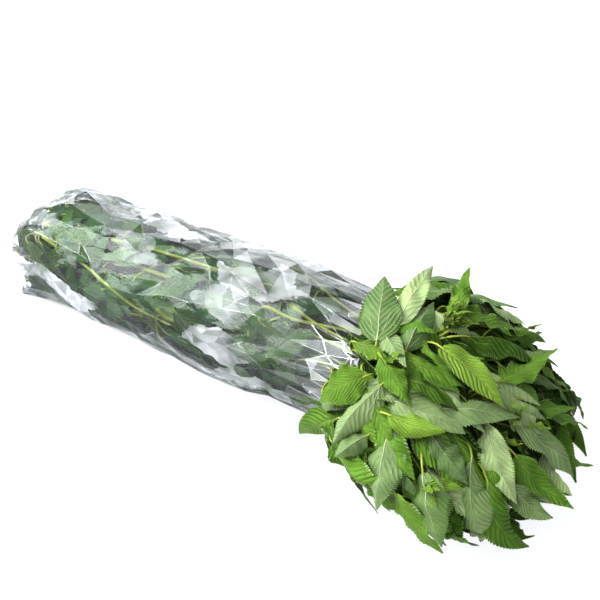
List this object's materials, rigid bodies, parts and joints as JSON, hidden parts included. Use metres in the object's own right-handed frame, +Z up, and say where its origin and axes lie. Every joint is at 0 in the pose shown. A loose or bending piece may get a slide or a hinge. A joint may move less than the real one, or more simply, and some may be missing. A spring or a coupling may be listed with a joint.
{
  "type": "bunch of jute leaves",
  "caption": "Bunch of leafy green jute stems lying down, its cut stems and lower leaves in a clear crinkled film bag and its leafy head spilling out of the open end.",
  "frame": {"origin": "middle of the bunch's underside, on the surface it lies on", "axes": "+X along the bunch from the cut stems to the leafy head, +Z up; -Y is the side seen in the picture"},
  "size_m": [0.658, 0.2814, 0.168],
  "materials": {
    "film": "clear crinkled film",
    "leaf": "matt leaf, soft sheen"
  },
  "bodies": {
    "root": {"film_bag": "film", "leafy_stem_01": "leaf", "leafy_stem_02": "leaf", "leafy_stem_03": "leaf", "leafy_stem_04": "leaf", "leafy_stem_05": "leaf", "leafy_stem_06": "leaf", "leafy_stem_07": "leaf", "leafy_stem_08": "leaf", "leafy_stem_09": "leaf", "leafy_stem_10": "leaf", "leafy_stem_11": "leaf", "leafy_stem_12": "leaf", "leafy_stem_13": "leaf", "leafy_stem_14": "leaf", "leafy_stem_15": "leaf", "leafy_stem_16": "leaf", "leafy_stem_17": "leaf", "leafy_stem_18": "leaf", "leafy_stem_19": "leaf", "leafy_stem_20": "leaf", "leafy_stem_21": "leaf", "leafy_stem_22": "leaf"}
  },
  "joints": []
}
